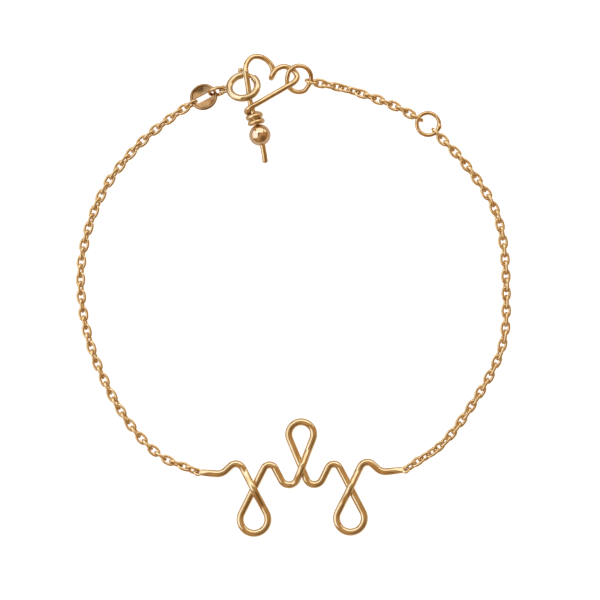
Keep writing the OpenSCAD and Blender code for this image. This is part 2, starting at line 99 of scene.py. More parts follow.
# Windings: where they start on the shank, and turns made against the way back to the bead
WINDING_AT, WINDING_R, WINDING_STEP = 4.1, HEART_D + 0.1, 30
WINDING_TURNS = (0, 0.25, 0.75, 1.25, 1.75, 2.25)
WINDING_MOVED = (0, 0.46, 1.4, 1.34, 2.28, 2.2)

# Wires of links and rings as thick as they look. The CAD part thins them for its gaps.
DRAWN_LINK_WIRE, DRAWN_RING_WIRE, DRAWN_JUMP_WIRE, DRAWN_CLASP_LINK_WIRE = 0.4, 0.56, 0.63, 0.5
# How much narrower a drawn link is between middle lines, which keeps it clear of the next one
DRAWN_NARROWER = 0.04
# How far round the adjusting ring its drop of solder spreads, in degrees
SOLDER_SPREAD = 9
# Stretch of the jump ring that has been pressed flat: its middle, and half of it
CHORD_MIDDLE, CHORD_HALF = -42, 22

# Rounding of ends and edges
HEART_END, EYE_EDGE, TUBE_EDGE, GATE_EDGE = 0.28, 0.1, 0.1, 0.06
# Rounded edge of the bead's mouths: how deep it reaches into the hole, where on the ball it starts
# in radians past the hole, and its middle point, out from the hole and in from the mouth
LIP_DEPTH, LIP_START, LIP_OUT, LIP_IN = 0.04, 0.03, 0.012, 0.004
# An eye starts with a hole that is a little narrow, and a drill that reaches past both faces
# opens it
EYE_OVERLAP, DRILL_REACH = 0.02, 1
# Clasp's cuts: degrees by which they start before the tube's end and pass the gate and the stem
CUT_BEFORE, BORE_PAST, STEM_PAST = 4, 3, 8
# Heights between which the tag's slot is cut
TAG_CUT_FROM, TAG_CUT_TO = -1, 2
# Tag's rim: radius of its edge, and how far it stands up. Its profile runs between two angles in
# radians from straight up. The underside ends a little inside it.
RIM_R, RIM_RISE, RIM_FROM, RIM_TO, RIM_INSET = 0.2, 0.16, -1.15, pi - 0.6, 0.1

# Fineness of the meshes: sides round a wire or an axis, and steps along it
WIRE_SIDES, LINK_SIDES, TUBE_SIDES, STEM_SIDES, HOLE_SIDES = 24, 14, 32, 20, 48
EYE_SIDES, KNOB_SIDES, BEAD_SIDES, TAG_SIDES = 64, 32, 96, 128
BEND_STEP, RUN_STEP, HEART_STEP = 6, 0.25, 0.16
ARC_STEPS, STRAIGHT_STEPS, LINK_ARC_STEPS, EDGE_STEPS, HALF_ROUND_STEPS = 40, 4, 12, 4, 16
BEAD_STEPS, DISH_STEPS, RIM_STEPS, SLOT_STEPS, STEM_STEPS = 63, 21, 14, 12, 5
# Distances in metres under which points are one: in new meshes, CAD meshes and along a cut
SAME_POINT, SAME_CAD_POINT, SLIVER = 1e-8, 1e-7, 5e-7

# Gold: places of its two tones in the noise, and the range of its roughness and the size of its
# ripples as shares of the roughness and the patches
DEEP_AT, BRIGHT_AT = 0.35, 0.6
SMOOTHEST, ROUGHEST, RIPPLE_SHARE = 0.75, 1.5, 0.5
WARM, DEEP = (0.80, 0.63, 0.36), (0.72, 0.52, 0.25)
# For each slot its name, bright tone, deep tone, roughness, size of patches and scratches in
# millimetres, depth of ripples and scratches in micrometres, and stretch of the scratches
GOLDS = {
    "ornament_wire": ("ornament_gold", WARM, DEEP, 0.075, 1.6, 0.10, 3.0, 0.25),
    "chain": ("chain_gold", (0.86, 0.67, 0.37), (0.77, 0.53, 0.23), 0.13, 0.6, 0.07, 4.0, 0.5),
    "rings": ("ring_gold", (0.77, 0.575, 0.30), (0.67, 0.43, 0.18), 0.08, 0.9, 0.08, 4.0, 0.4),
    "heart_wire": ("heart_gold", (0.80, 0.61, 0.33), (0.72, 0.50, 0.23), 0.08, 1.2, 0.09, 3.0, 0.3),
    "bead": ("bead_gold", (0.85, 0.69, 0.47), (0.77, 0.56, 0.33), 0.05, 1.8, 0.06, 1.5, 0.1),
    "clasp": ("clasp_gold", (0.76, 0.61, 0.36), (0.62, 0.47, 0.24), 0.06, 1.4, 0.08, 3.0, 0.3),
    "lever": ("lever_gold", WARM, DEEP, 0.14, 0.8, 0.06, 3.0, 0.3),
    "tag": ("tag_gold", (0.44, 0.27, 0.115), (0.30, 0.17, 0.07), 0.18, 1.3, 0.05, 2.0, 0.05,
            (0.25, 1.6, 1)),
}

# Table: half its side and its height in millimetres, its colour, and how strongly it glows
TABLE_HALF, TABLE_Z, TABLE_COLOUR, TABLE_GLOW = 400, -0.01, (0.80, 0.80, 0.80), 0.8
# Dark bars of the softboxes, and the roughness of bars and table
BAR_COLOUR, MATT_ROUGHNESS = (0.03, 0.025, 0.02), 0.9
# Colours of the room by height, from straight below at 0 to straight above at 1
ROOM_COLOURS = [(0.0, (0.57, 0.47, 0.40)), (0.47, (0.67, 0.56, 0.49)), (0.52, (0.32, 0.175, 0.08)),
                (0.75, (0.52, 0.315, 0.155)), (1.0, (0.63, 0.42, 0.245))]
# Two dark parts of the room: direction, angles from it where the shade ends and is full, and the
# light left there
SHADES = [((-0.08, 0.06, 0.99), 13, 5, 0.62), ((0.50, -0.57, 0.65), 42, 14, 0.40)]
# Softboxes: side they stand on and height over the table in degrees, size in metres, radiance,
# colour, and width in metres of the dark bar along the upper edge
SOFTBOXES = {
    "window_left": (174, 36, (1.05, 0.94), 1.42, (0.565, 0.735, 1.0), 0.14),
    "panel_top": (90, 37, (0.95, 0.76), 1.34, (0.72, 0.84, 1.0), 0.12),
    "glow_right": (42, 14, (0.34, 0.26), 1.4, (0.8, 0.9, 1.0), 0),
}
# Distance of the softboxes in metres
LIGHT_AWAY = 0.75
# Camera: the photo's pixels, millimetres to a pixel, the photo's middle on the plan, lens and
# sensor in millimetres, and how far it sees in metres
PHOTO_PIXELS, PIXEL_MM, PHOTO_MIDDLE = 600, 0.14, (0.7, -1.12)
LENS, SENSOR, CLIP_END = 250.0, 36.0, 10


# Small maths
def unit(v):
    v = np.asarray(v, float)
    return v / np.linalg.norm(v)


def plan(heading):
    """Level direction by its heading in degrees."""
    return np.array([cos(radians(heading)), sin(radians(heading)), 0.0])


def slant(heading, rise):
    """Direction by its heading and its rise from the level, in degrees."""
    return cos(radians(rise)) * plan(heading) + sin(radians(rise)) * UP


def ease(t):
    """Smooth step from 0 to 1."""
    return (1 - cos(pi * min(max(t, 0.0), 1.0))) / 2


def arc(r, start, end, steps):
    """Points (across, up) on a circle, by angle in radians from straight up."""
    return [(r * sin(a), r * cos(a)) for a in np.linspace(start, end, steps + 1)]


def turn(axis, angle):
    return Matrix.Rotation(radians(angle), 4, axis)


def aim(at, direction, roll):
    """Frame at a place, with X along a direction, rolled about it."""
    x, y, z = unit(direction)
    return (Matrix.Translation(at) @ turn("Z", degrees(atan2(y, x)))
            @ turn("Y", -degrees(asin(z))) @ turn("X", roll))


def lean(at, high_side, angle):
    """Frame at a place, tipped so that one side stands high."""
    return (Matrix.Translation(at) @ turn("Z", high_side) @ turn("Y", -angle)
            @ turn("Z", -high_side))


def tangents(points, closed=False):
    points = np.asarray(points, float)
    if closed:
        steps = np.roll(points, -1, axis=0) - np.roll(points, 1, axis=0)
    else:
        steps = np.gradient(points, axis=0)
    return steps / np.linalg.norm(steps, axis=1)[:, None]


def between(knots, values, i, span, t):
    """Point at t on the straight line from one knot's value to the next, span knots further on."""
    start, end = knots[i], knots[i + span]
    return ((end - t) * values[i] + (t - start) * values[i + 1]) / (end - start)


def curve(points, step):
    """Smooth curve through points, with knots spaced by the square root of their distance."""
    points = [np.asarray(p, float) for p in points]
    ends = [2 * points[0] - points[1]] + points + [2 * points[-1] - points[-2]]
    line = []
    for i in range(len(points) - 1):
        p = ends[i:i + 4]
        k = np.cumsum([0] + [sqrt(np.linalg.norm(b - a)) for a, b in zip(p, p[1:])])
        steps = ceil(np.linalg.norm(p[2] - p[1]) / step)
        for t in k[1] + (k[2] - k[1]) * np.arange(steps) / steps:
            a = [between(k, p, j, 1, t) for j in range(3)]
            b = [between(k, a, j, 2, t) for j in range(2)]
            line.append(between(k[1:], b, 0, 1, t))
    return np.array(line + [points[-1]])


# Mesh building, in millimetres
def skin(rings, closed=False):
    """Points and faces that join rings of points, capped at both ends or closed to a loop."""
    rings = np.asarray(rings, float)
    n, sides = rings.shape[:2]
    faces = []
    for i in range(n if closed else n - 1):
        a, b = i * sides, (i + 1) % n * sides
        for k in range(sides):
            after = (k + 1) % sides
            faces.append((a + k, b + k, b + after, a + after))
    if not closed:
        faces.append(tuple(range(sides)))
        faces.append(tuple(reversed(range((n - 1) * sides, n * sides))))
    return rings.reshape(-1, 3), faces


def sweep(points, across, half_w, half_h, sides, closed=False):
    """Tube of elliptic rings along points; across gives each ring's width direction."""
    points, across = np.asarray(points, float), np.asarray(across, float)
    along = tangents(points, closed)
    across = across - (across * along).sum(1)[:, None] * along
    across /= np.linalg.norm(across, axis=1)[:, None]
    up = np.cross(along, across)
    angles = 2 * pi * np.arange(sides) / sides
    w = np.broadcast_to(half_w, len(points))[:, None, None]
    h = np.broadcast_to(half_h, len(points))[:, None, None]
    rings = (points[:, None, :] + w * np.cos(angles)[None, :, None] * across[:, None, :]
             + h * np.sin(angles)[None, :, None] * up[:, None, :])
    return skin(rings, closed)


def rounded_ends(points, across, radius, edge):
    """Points, width directions and radii of a wire whose two ends are rounded off."""
    points, along = np.asarray(points, float), tangents(points)
    across = np.broadcast_to(across, points.shape)
    angles = np.radians(np.linspace(90, 0, EDGE_STEPS + 1))
    inward = edge * (1 - np.sin(angles))
    radii = radius - edge * (1 - np.cos(angles))
    start = [points[0] + d * along[0] for d in inward]
    end = [points[-1] - d * along[-1] for d in inward[::-1]]
    keep = slice(1, -1)
    line = np.vstack([start, points[keep], end])
    sides = np.vstack([np.repeat([across[0]], len(angles), 0), across[keep],
                       np.repeat([across[-1]], len(angles), 0)])
    return line, sides, np.concatenate([radii, np.full(len(points) - 2, radius), radii[::-1]])


def carried_sides(points):
    """Directions across a path that turn as little as they can along it."""
    along = tangents(points)
    side = unit(np.cross(along[0], UP))
    sides = []
    for t in along:
        side = unit(side - side.dot(t) * t)
        sides.append(side)
    return np.array(sides)


def link_line():
    """Middle line of a flat link, its length along X: two tight bends and two wide ones."""
    half_l, half_w = (LINK_L - LINK_WIRE) / 2, (LINK_W - LINK_WIRE - DRAWN_NARROWER) / 2
    end_r = END_SHARE * half_w
    side_r = ((half_l - end_r) ** 2 + half_w ** 2 - end_r ** 2) / 2 / (half_w - end_r)
    side_angle = degrees(atan2(half_l - end_r, side_r - half_w))
    half = [np.array((half_l - end_r, 0, 0)) + end_r * plan(a)
            for a in np.linspace(side_angle - 90, 90 - side_angle, LINK_ARC_STEPS + 1)]
    half += [np.array((0, half_w - side_r, 0)) + side_r * plan(a)
             for a in np.linspace(90 - side_angle, 90 + side_angle, LINK_ARC_STEPS // 2 + 2)[1:-1]]
    return np.array(half + [-p for p in half])


def long_line(wire, width, length):
    """Middle line of a flat ring with straight sides, its length along X."""
    r, run = (width - wire) / 2, (length - width) / 2
    half = [np.array((run, 0, 0)) + r * plan(a) for a in np.linspace(-90, 90, ARC_STEPS + 1)]
    half += [np.array((x, r, 0)) for x in np.linspace(run, -run, STRAIGHT_STEPS + 1)[1:-1]]
    return np.array(half + [-p for p in half])


def round_line(wire, width):
    return np.array([(width - wire) / 2 * plan(180 * k / ARC_STEPS) for k in range(2 * ARC_STEPS)])


def ring_mesh(line, half_wire, sides=WIRE_SIDES):
    return sweep(line, UP, half_wire, half_wire, sides, closed=True)


def bent_bar(d, angle_from, angle_to, edge=0.0, sides=WIRE_SIDES):
    """Stretch of round bar bent round the clasp's middle."""
    steps = max(2, ceil((angle_to - angle_from) / BEND_STEP))
    line = np.array([TUBE_R * plan(a) for a in np.linspace(angle_from, angle_to, steps + 1)])
    if edge:
        line, across, radii = rounded_ends(line, UP, d / 2, edge)
        return sweep(line, across, radii, radii, sides)
    return sweep(line, UP, d / 2, d / 2, sides)


def revolved(profile, steps, axis="Z"):
    """Closed profile of (distance from the axis, height) turned round Z, or round X."""
    rings = []
    for s in range(steps):
        a = 2 * pi * s / steps
        if axis == "Z":
            rings.append([(r * cos(a), r * sin(a), h) for r, h in profile])
        else:
            rings.append([(h, r * cos(a), r * sin(a)) for r, h in profile])
    return skin(rings, closed=True)


def raw_object(name, mesh_data, place=None):
    """Object from points in millimetres, set in a frame, with outward faces."""
    verts, faces = mesh_data
    mesh = bpy.data.meshes.new(name)
    mesh.from_pydata([tuple(v) for v in verts], [], faces)
    if place is not None:
        mesh.transform(place)
    mesh.transform(Matrix.Scale(MM, 4))
    bm = bmesh.new()
    bm.from_mesh(mesh)
    bmesh.ops.remove_doubles(bm, verts=bm.verts, dist=SAME_POINT)
    bmesh.ops.recalc_face_normals(bm, faces=bm.faces)
    bm.to_mesh(mesh)
    bm.free()
    piece = bpy.data.objects.new(name, mesh)
    bpy.context.scene.collection.objects.link(piece)
    return piece


def combine(piece, tool, operation):
    """Exact union or difference of two closed meshes; the tool is used up."""
    change = piece.modifiers.new("combine", "BOOLEAN")
    change.object, change.operation, change.solver = tool, operation, "EXACT"
    graph = bpy.context.evaluated_depsgraph_get()
    mesh = bpy.data.meshes.new_from_object(piece.evaluated_get(graph))
    piece.modifiers.clear()
    piece.data = mesh
    # Slivers along the cut would leave the mesh open and spoil the next cut
    bm = bmesh.new()
    bm.from_mesh(mesh)
    bmesh.ops.remove_doubles(bm, verts=bm.verts, dist=SLIVER)
    bmesh.ops.dissolve_degenerate(bm, edges=bm.edges, dist=SLIVER)
    bm.to_mesh(mesh)
    bm.free()
    bpy.data.objects.remove(tool)


def finish_piece(piece, node, slot, body="bracelet", sharp_angle=None):
    """Smooth shading, material, and the piece's place in the frame."""
    mesh = piece.data
    mesh.materials.clear()
    mesh.materials.append(MATERIALS[slot])
    mesh.shade_smooth()
    if sharp_angle:
        mesh.set_sharp_from_angle(angle=radians(sharp_angle))
    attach(piece, body)
    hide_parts(node)


# Materials
class Nodes:
    """Short names for building the node tree of a material or world."""

    def __init__(self, owner, coordinates):
        owner.use_nodes = True
        self.tree = owner.node_tree
        self.place = self.new("ShaderNodeTexCoord").outputs[coordinates]

    def new(self, kind, **values):
        made = self.tree.nodes.new(kind)
        for key, value in values.items():
            setattr(made, key, value)
        return made

    def link(self, source, target):
        self.tree.links.new(source, target)

    def noise(self, size_mm, detail=3.0, stretch=(1, 1, 1)):
        """Noise whose lumps are about size_mm across."""
        mapping = self.new("ShaderNodeMapping")
        mapping.inputs["Scale"].default_value = [s / (size_mm * MM) for s in stretch]
        self.link(self.place, mapping.inputs["Vector"])
        noise = self.new("ShaderNodeTexNoise")
        noise.inputs["Scale"].default_value = 1.0
        noise.inputs["Detail"].default_value = detail
        self.link(mapping.outputs["Vector"], noise.inputs["Vector"])
        return noise.outputs["Fac"]

    def ramp(self, source, stops):
        """Colours at shares of the way along a value."""
        ramp = self.new("ShaderNodeValToRGB")
        elements = ramp.color_ramp.elements
        while len(elements) < len(stops):
            elements.new(0.5)
        for element, (at, colour) in zip(elements, stops):
            element.position = at
            element.color = (*colour, 1.0)
        self.link(source, ramp.inputs["Fac"])
        return ramp.outputs["Color"]

    def span(self, source, low, high, start=0.3, end=0.7, blend="LINEAR"):
        """The stretch of a value from start to end, spread between two numbers."""
        spread = self.new("ShaderNodeMapRange", interpolation_type=blend)
        for key, value in zip(("From Min", "From Max", "To Min", "To Max"),
                              (start, end, low, high)):
            spread.inputs[key].default_value = value
        self.link(source, spread.inputs["Value"])
        return spread.outputs["Result"]

    def bump(self, source, depth_um, normal=None):
        bump = self.new("ShaderNodeBump")
        bump.inputs["Distance"].default_value = depth_um * UM
        bump.inputs["Strength"].default_value = 1.0
        self.link(source, bump.inputs["Height"])
        if normal is not None:
            self.link(normal, bump.inputs["Normal"])
        return bump.outputs["Normal"]


def gold(name, bright, deep, roughness, patch_mm, scratch_mm, ripple_um, scratch_um,
         stretch=(1, 1, 1)):
    """Polished gold: patches of two tones, drifting polish, soft ripples and fine scratches."""
    material = bpy.data.materials.new(name)
    nodes = Nodes(material, "Object")
    shader = nodes.tree.nodes["Principled BSDF"]
    shader.inputs["Metallic"].default_value = 1.0
    tone = nodes.ramp(nodes.noise(patch_mm), [(DEEP_AT, deep), (BRIGHT_AT, bright)])
    nodes.link(tone, shader.inputs["Base Color"])
    scratches = nodes.noise(scratch_mm, detail=4.0, stretch=stretch)
    polish = nodes.span(scratches, roughness * SMOOTHEST, roughness * ROUGHEST)
    nodes.link(polish, shader.inputs["Roughness"])
    ripples = nodes.bump(nodes.noise(patch_mm * RIPPLE_SHARE, detail=1.0), ripple_um)
    nodes.link(nodes.bump(scratches, scratch_um, ripples), shader.inputs["Normal"])
    return material


def matt(name, colour, emission=0.0):
    """Matt material of one colour, which may glow white."""
    material = bpy.data.materials.new(name)
    material.use_nodes = True
    shader = material.node_tree.nodes["Principled BSDF"]
    shader.inputs["Base Color"].default_value = (*colour, 1)
    shader.inputs["Roughness"].default_value = MATT_ROUGHNESS
    shader.inputs["Specular IOR Level"].default_value = 0.0
    shader.inputs["Emission Color"].default_value = (1, 1, 1, 1)
    shader.inputs["Emission Strength"].default_value = emission
    return material


MATERIALS = {slot: gold(*values) for slot, values in GOLDS.items()}
BAR_MATERIAL = matt("bar_black", BAR_COLOUR)


# Ornament
def half_walk():
    """Points of one half, [x, y, heading, length so far], from the middle loop's top outwards."""
    at = np.zeros(4)
    walk = [at]
    for r, turned, run in HALF_BENDS:
        side = 1 if turned > 0 else -1
        steps = ceil(abs(turned) / BEND_STEP)
        h = radians(at[2])
        middle = np.array([at[0] - side * r * sin(h), at[1] + side * r * cos(h)])
        for k in range(1, steps + 1):
            heading = at[2] + turned * k / steps
            h = radians(heading)
            walk.append(np.array([middle[0] + side * r * sin(h), middle[1] - side * r * cos(h),
                                  heading, at[3] + r * radians(abs(turned)) * k / steps]))
        at = walk[-1]
        steps = ceil(run / RUN_STEP)
        for k in range(1, steps + 1):
            d = run * k / steps
            walk.append(np.array([at[0] + d * cos(h), at[1] + d * sin(h), at[2], at[3] + d]))
        at = walk[-1]
    return walk


def scroll_path():
    """Middle line of the ornament's wire, how flat it is at each point, and its two eyes."""
    walk = half_walk()
    end = walk[-1]
    length = end[3]
    drop = end[1] + EYE_BACK * sin(radians(end[2]))
    reach = -end[0] - EYE_BACK * cos(radians(end[2]))
    middle_cross = MIDDLE_R * (radians(MIDDLE_TURN) + tan(radians(180 - MIDDLE_TURN)))
    to_side_loop = sum(r * radians(abs(t)) + run for r, t, run in HALF_BENDS[:SIDE_LOOP_ROW])
    side_cross = to_side_loop + SIDE_R * (radians(SIDE_TURN) + tan(radians(180 - SIDE_TURN / 2)))

    def hump(d):
        return (1 + cos(pi * d / HUMP_RUN)) / 2 if abs(d) < HUMP_RUN else 0

    def flatness(s):
        return ease((s - length + FLATTEN_RUN) / FLATTEN_RUN)

    def placed(x, y):
        c, s = cos(radians(SCROLL_TURN)), sin(radians(SCROLL_TURN))
        return SCROLL_AT[0] + x * c - y * s, SCROLL_AT[1] + x * s + y * c

    line, flat = [], []
    for side, walked in ((-1, walk[:0:-1]), (1, walk)):
        for x, y, _, s in walked:
            over = hump(s - side_cross) + (hump(s - middle_cross) if side > 0 else 0)
            z = (SCROLL_D / 2 + (SCROLL_D + CROSS_GAP) * over
                 + flatness(s) * (CHAIN_Z - SCROLL_D / 2))
            line.append((*placed(side * x, y - drop), z))
            flat.append(flatness(s))
    eyes = [np.array((*placed(side * reach, 0), CHAIN_Z)) for side in (-1, 1)]
    return np.array(line), np.array(flat), eyes


def link_nearest(node, place):
    """Middle of the chain link that lies nearest a place."""
    return min((part.mean(0) for part in loose_parts(node)),
               key=lambda middle: np.linalg.norm(middle - place))


def washer(hole_r, outer_r, thickness, edge):
    """Flat ring with rounded edges, turned round Z."""
    half, corners = thickness / 2, []
    for r, h, start in ((outer_r - edge, half - edge, 0), (hole_r + edge, half - edge, 90),
                        (hole_r + edge, edge - half, 180), (outer_r - edge, edge - half, 270)):
        for a in np.radians(np.linspace(start, start + 90, EDGE_STEPS + 1)):
            corners.append((r + edge * cos(a), h + edge * sin(a)))
    return revolved(corners, EYE_SIDES)


def make_scroll_wire():
    """Ornament's wire, whose flattened ends widen to drilled eyes."""
    line, flat, eyes = scroll_path()
    along = tangents(line)
    level = np.cross(along, UP)
    level /= np.linalg.norm(level, axis=1)[:, None]
    rolled = np.radians(EYE_ROLL * flat)[:, None]
    across = np.cos(rolled) * level - np.sin(rolled) * UP
    hole_r = EYE_HOLE_D / 2
    eye_r = hole_r + EYE_RIM
    half_w = SCROLL_D / 2 + flat * (FLAT_W_SHARE * eye_r - SCROLL_D / 2)
    half_h = SCROLL_D / 2 + flat * (FLAT_H_SHARE * EYE_T - SCROLL_D / 2)
    piece = raw_object("scroll", sweep(line, across, half_w, half_h, WIRE_SIDES))
    eye_mesh = washer(hole_r - EYE_OVERLAP, eye_r, EYE_T, EYE_EDGE)
    drill_line = [(0, 0, -DRILL_REACH), (0, 0, DRILL_REACH)]
    drill_mesh = sweep(drill_line, (1, 0, 0), hole_r, hole_r, HOLE_SIDES)
    # The wire runs from the right end to the left, so its way at the right eye points inwards
    for eye, wire_way, chain, side in ((eyes[0], along[-1], "chain_left", 1),
                                       (eyes[1], along[0], "chain_right", -1)):
        link_way = side * unit((link_nearest(chain, eye) - eye) * (1, 1, 0))
        way = ((1 - EYE_TURN) * wire_way + EYE_TURN * link_way) * (1, 1, 0)
        place = aim(eye, way, EYE_ROLL)
        combine(piece, raw_object("eye", eye_mesh, place), "UNION")
        combine(piece, raw_object("drill", drill_mesh, place), "DIFFERENCE")
    finish_piece(piece, "scroll_wire", "ornament_wire", sharp_angle=40)


# Chains
def loose_parts(node):
    """The loose solids of a CAD node, each as its points in millimetres."""
    bm = bmesh.new()
    bm.from_mesh(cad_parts[node].data)
    bmesh.ops.remove_doubles(bm, verts=bm.verts, dist=SAME_CAD_POINT)
    seen, parts = set(), []
    for start in bm.verts:
        if start.index in seen:
            continue
        seen.add(start.index)
        stack, part = [start], []
        while stack:
            vert = stack.pop()
            part.append(vert.co[:])
            for edge in vert.link_edges:
                other = edge.other_vert(vert)
                if other.index not in seen:
                    seen.add(other.index)
                    stack.append(other)
        parts.append(np.array(part) / MM)
    bm.free()
    return parts


def own_frame(points):
    """Middle of a flat oval solid, with X along its length and Z across its flat."""
    middle = points.mean(0)
    axes = np.linalg.eigh(np.cov((points - middle).T))[1]
    length, width = axes[:, 2], axes[:, 1]
    spread = (points - middle) @ axes
    middle = middle + axes @ ((spread.max(0) + spread.min(0)) / 2)
    place = Matrix.Identity(4)
    for column, vector in enumerate((length, width, np.cross(length, width), middle)):
        for row in range(3):
            place[row][column] = vector[row]
    return place


def make_chain(node):
    """Smooth links where the links of a CAD chain are."""
    link_verts, link_faces = ring_mesh(link_line(), DRAWN_LINK_WIRE / 2, LINK_SIDES)
    verts, faces = [], []
    for part in loose_parts(node):
        place = np.array(own_frame(part))
        first = len(verts)
        verts.extend(link_verts @ place[:3, :3].T + place[:3, 3])
        faces.extend(tuple(first + i for i in face) for face in link_faces)
    piece = raw_object(node.replace("chain", "links"), (verts, faces))
    finish_piece(piece, node, "chain")


# Rings
def make_adjuster_ring():
    """Round ring whose soldered seam swells out of the wire."""
    line = round_line(RING_WIRE, ADJUSTER_D)
    heading = degrees(atan2(ADJUSTER_AT[1], ADJUSTER_AT[0])) + 90
    around = np.degrees(np.arctan2(line[:, 1], line[:, 0])) - (SOLDER_ANGLE - heading)
    off_seam = np.abs((around + 180) % 360 - 180)
    swell = (SOLDER_D - DRAWN_RING_WIRE) / 2 * np.exp(-(off_seam / SOLDER_SPREAD) ** 2)
    place = aim(ADJUSTER_AT, plan(heading), ADJUSTER_ROLL)
    piece = raw_object("adjusting_ring", ring_mesh(line, DRAWN_RING_WIRE / 2 + swell), place)
    finish_piece(piece, "adjuster_ring", "rings")


def make_jump_ring():
    """Oval ring that has been pressed flat along a short stretch."""
    line = long_line(JUMP_WIRE, JUMP_W, JUMP_L)
    angles = np.degrees(np.arctan2(line[:, 1], line[:, 0])) + JUMP_HIGH_SIDE
    off_middle = (angles - CHORD_MIDDLE + 180) % 360 - 180
    pressed = np.abs(off_middle) < CHORD_HALF
    line[pressed] *= (cos(radians(CHORD_HALF)) / np.cos(np.radians(off_middle[pressed])))[:, None]
    place = lean(JUMP_AT, JUMP_HIGH_SIDE, JUMP_LEAN) @ turn("Z", JUMP_HIGH_SIDE)
    piece = raw_object("heart_jump_ring", ring_mesh(line, DRAWN_JUMP_WIRE / 2), place)
    finish_piece(piece, "jump_ring", "rings")


# Heart and bead
def make_heart_wire():
    """One wire: tail, shank, heart, and windings that run down the shank."""
    along, side = plan(SHANK_HEADING), plan(SHANK_HEADING + 90)
    middle = np.array(BEAD_AT)
    points = TAIL_BENDS + [middle + d * along for d in SHANK_STATIONS] + HEART_BENDS
    for angle in np.arange(0, 360 * WINDING_TURNS[-1] + 1, WINDING_STEP):
        moved = WINDING_AT - np.interp(angle / 360, WINDING_TURNS, WINDING_MOVED)
        out = cos(radians(angle)) * UP + sin(radians(angle)) * side
        points.append(middle + moved * along + WINDING_R * out)
    line = curve(points, HEART_STEP)
    line, across, radii = rounded_ends(line, carried_sides(line), HEART_D / 2, HEART_END)
    piece = raw_object("heart", sweep(line, across, radii, radii, WIRE_SIDES))
    finish_piece(piece, "heart_wire", "heart_wire")


def make_bead():
    """Ball drilled through, with a small rounded lip at each mouth."""
    r, hole = BEAD_D / 2, BEAD_HOLE_D / 2
    mouth = asin(hole / r)
    end = r * cos(mouth)
    profile = arc(r, mouth + LIP_START, pi - mouth - LIP_START, BEAD_STEPS)
    profile += [(hole + LIP_OUT, -end + LIP_IN), (hole, -end + LIP_DEPTH),
                (hole, end - LIP_DEPTH), (hole + LIP_OUT, end - LIP_IN)]
    place = aim(BEAD_AT, plan(SHANK_HEADING), 0)
    piece = raw_object("round_bead", revolved(profile, BEAD_SIDES, "X"), place)
    finish_piece(piece, "bead", "bead", sharp_angle=50)


# Clasp
def clasp_place():
    return lean(CLASP_AT, CLASP_HIGH_SIDE, CLASP_LEAN)


def make_spring_ring():
    """Tube with an eyelet, bored for the gate and slotted for its stem."""
    place = clasp_place()
    tube = bent_bar(TUBE_D, GAP_TO, GAP_FROM + 360, TUBE_EDGE, TUBE_SIDES)
    piece = raw_object("clasp_ring", tube, place)
    eyelet_at = (CLASP_D / 2 + EYELET_OUT) * plan(EYELET_ANGLE)
    eyelet = ring_mesh(round_line(EYELET_WIRE, 2 * EYELET_R + EYELET_WIRE), EYELET_WIRE / 2)
    combine(piece, raw_object("eyelet", eyelet, place @ Matrix.Translation(eyelet_at)), "UNION")
    cut_from = GAP_TO - CUT_BEFORE
    bore = bent_bar(GATE_D + 2 * GATE_PLAY, cut_from, GATE_END + GATE_TRAVEL + BORE_PAST)
    combine(piece, raw_object("bore", bore, place), "DIFFERENCE")
    half, outside = STEM_D / 2 + STEM_PLAY, TUBE_R + TUBE_D
    corners = [(TUBE_R, -half), (outside, -half), (outside, half), (TUBE_R, half)]
    cut_to = KNOB_ANGLE + GATE_TRAVEL + STEM_PAST
    slot = skin([[r * plan(a) + z * UP for r, z in corners]
                 for a in np.linspace(cut_from, cut_to, SLOT_STEPS + 1)])
    combine(piece, raw_object("slot", slot, place), "DIFFERENCE")
    finish_piece(piece, "spring_ring", "clasp", sharp_angle=35)


def make_spring_lever():
    """Gate that slides in the tube, with the stem and knob that draw it back."""
    place = clasp_place()
    gate = bent_bar(GATE_D, GATE_START, GATE_END, GATE_EDGE)
    piece = raw_object("gate", gate, place)
    stem_place = place @ turn("Z", KNOB_ANGLE)
    stem_line = [(x, 0, 0) for x in np.linspace(TUBE_R, KNOB_REACH, STEM_STEPS + 1)]
    stem = sweep(stem_line, UP, STEM_D / 2, STEM_D / 2, STEM_SIDES)
    combine(piece, raw_object("stem", stem, stem_place), "UNION")
    knob = revolved(arc(KNOB_D / 2, 0, pi, HALF_ROUND_STEPS), KNOB_SIDES, "X")
    knob_place = stem_place @ Matrix.Translation((KNOB_REACH, 0, 0))
    combine(piece, raw_object("knob", knob, knob_place), "UNION")
    finish_piece(piece, "spring_lever", "lever", body="lever", sharp_angle=40)


def clasp_link_ends():
    """Middle of the eyelet, and direction of the link from there to the tag."""
    eyelet = clasp_place() @ Vector((CLASP_D / 2 + EYELET_OUT) * plan(EYELET_ANGLE))
    return np.array(eyelet), slant(CLASP_LINK_HEADING, -CLASP_LINK_FALL)


def make_clasp_link():
    """Oval link that the tag hangs from."""
    eyelet, direction = clasp_link_ends()
    middle = eyelet + (CLASP_LINK_L - CLASP_LINK_WIRE) / 2 * direction
    line = long_line(CLASP_LINK_WIRE, CLASP_LINK_W, CLASP_LINK_L)
    link = ring_mesh(line, DRAWN_CLASP_LINK_WIRE / 2)
    piece = raw_object("tag_link", link, aim(middle, direction, CLASP_LINK_ROLL))
    finish_piece(piece, "clasp_link", "rings")


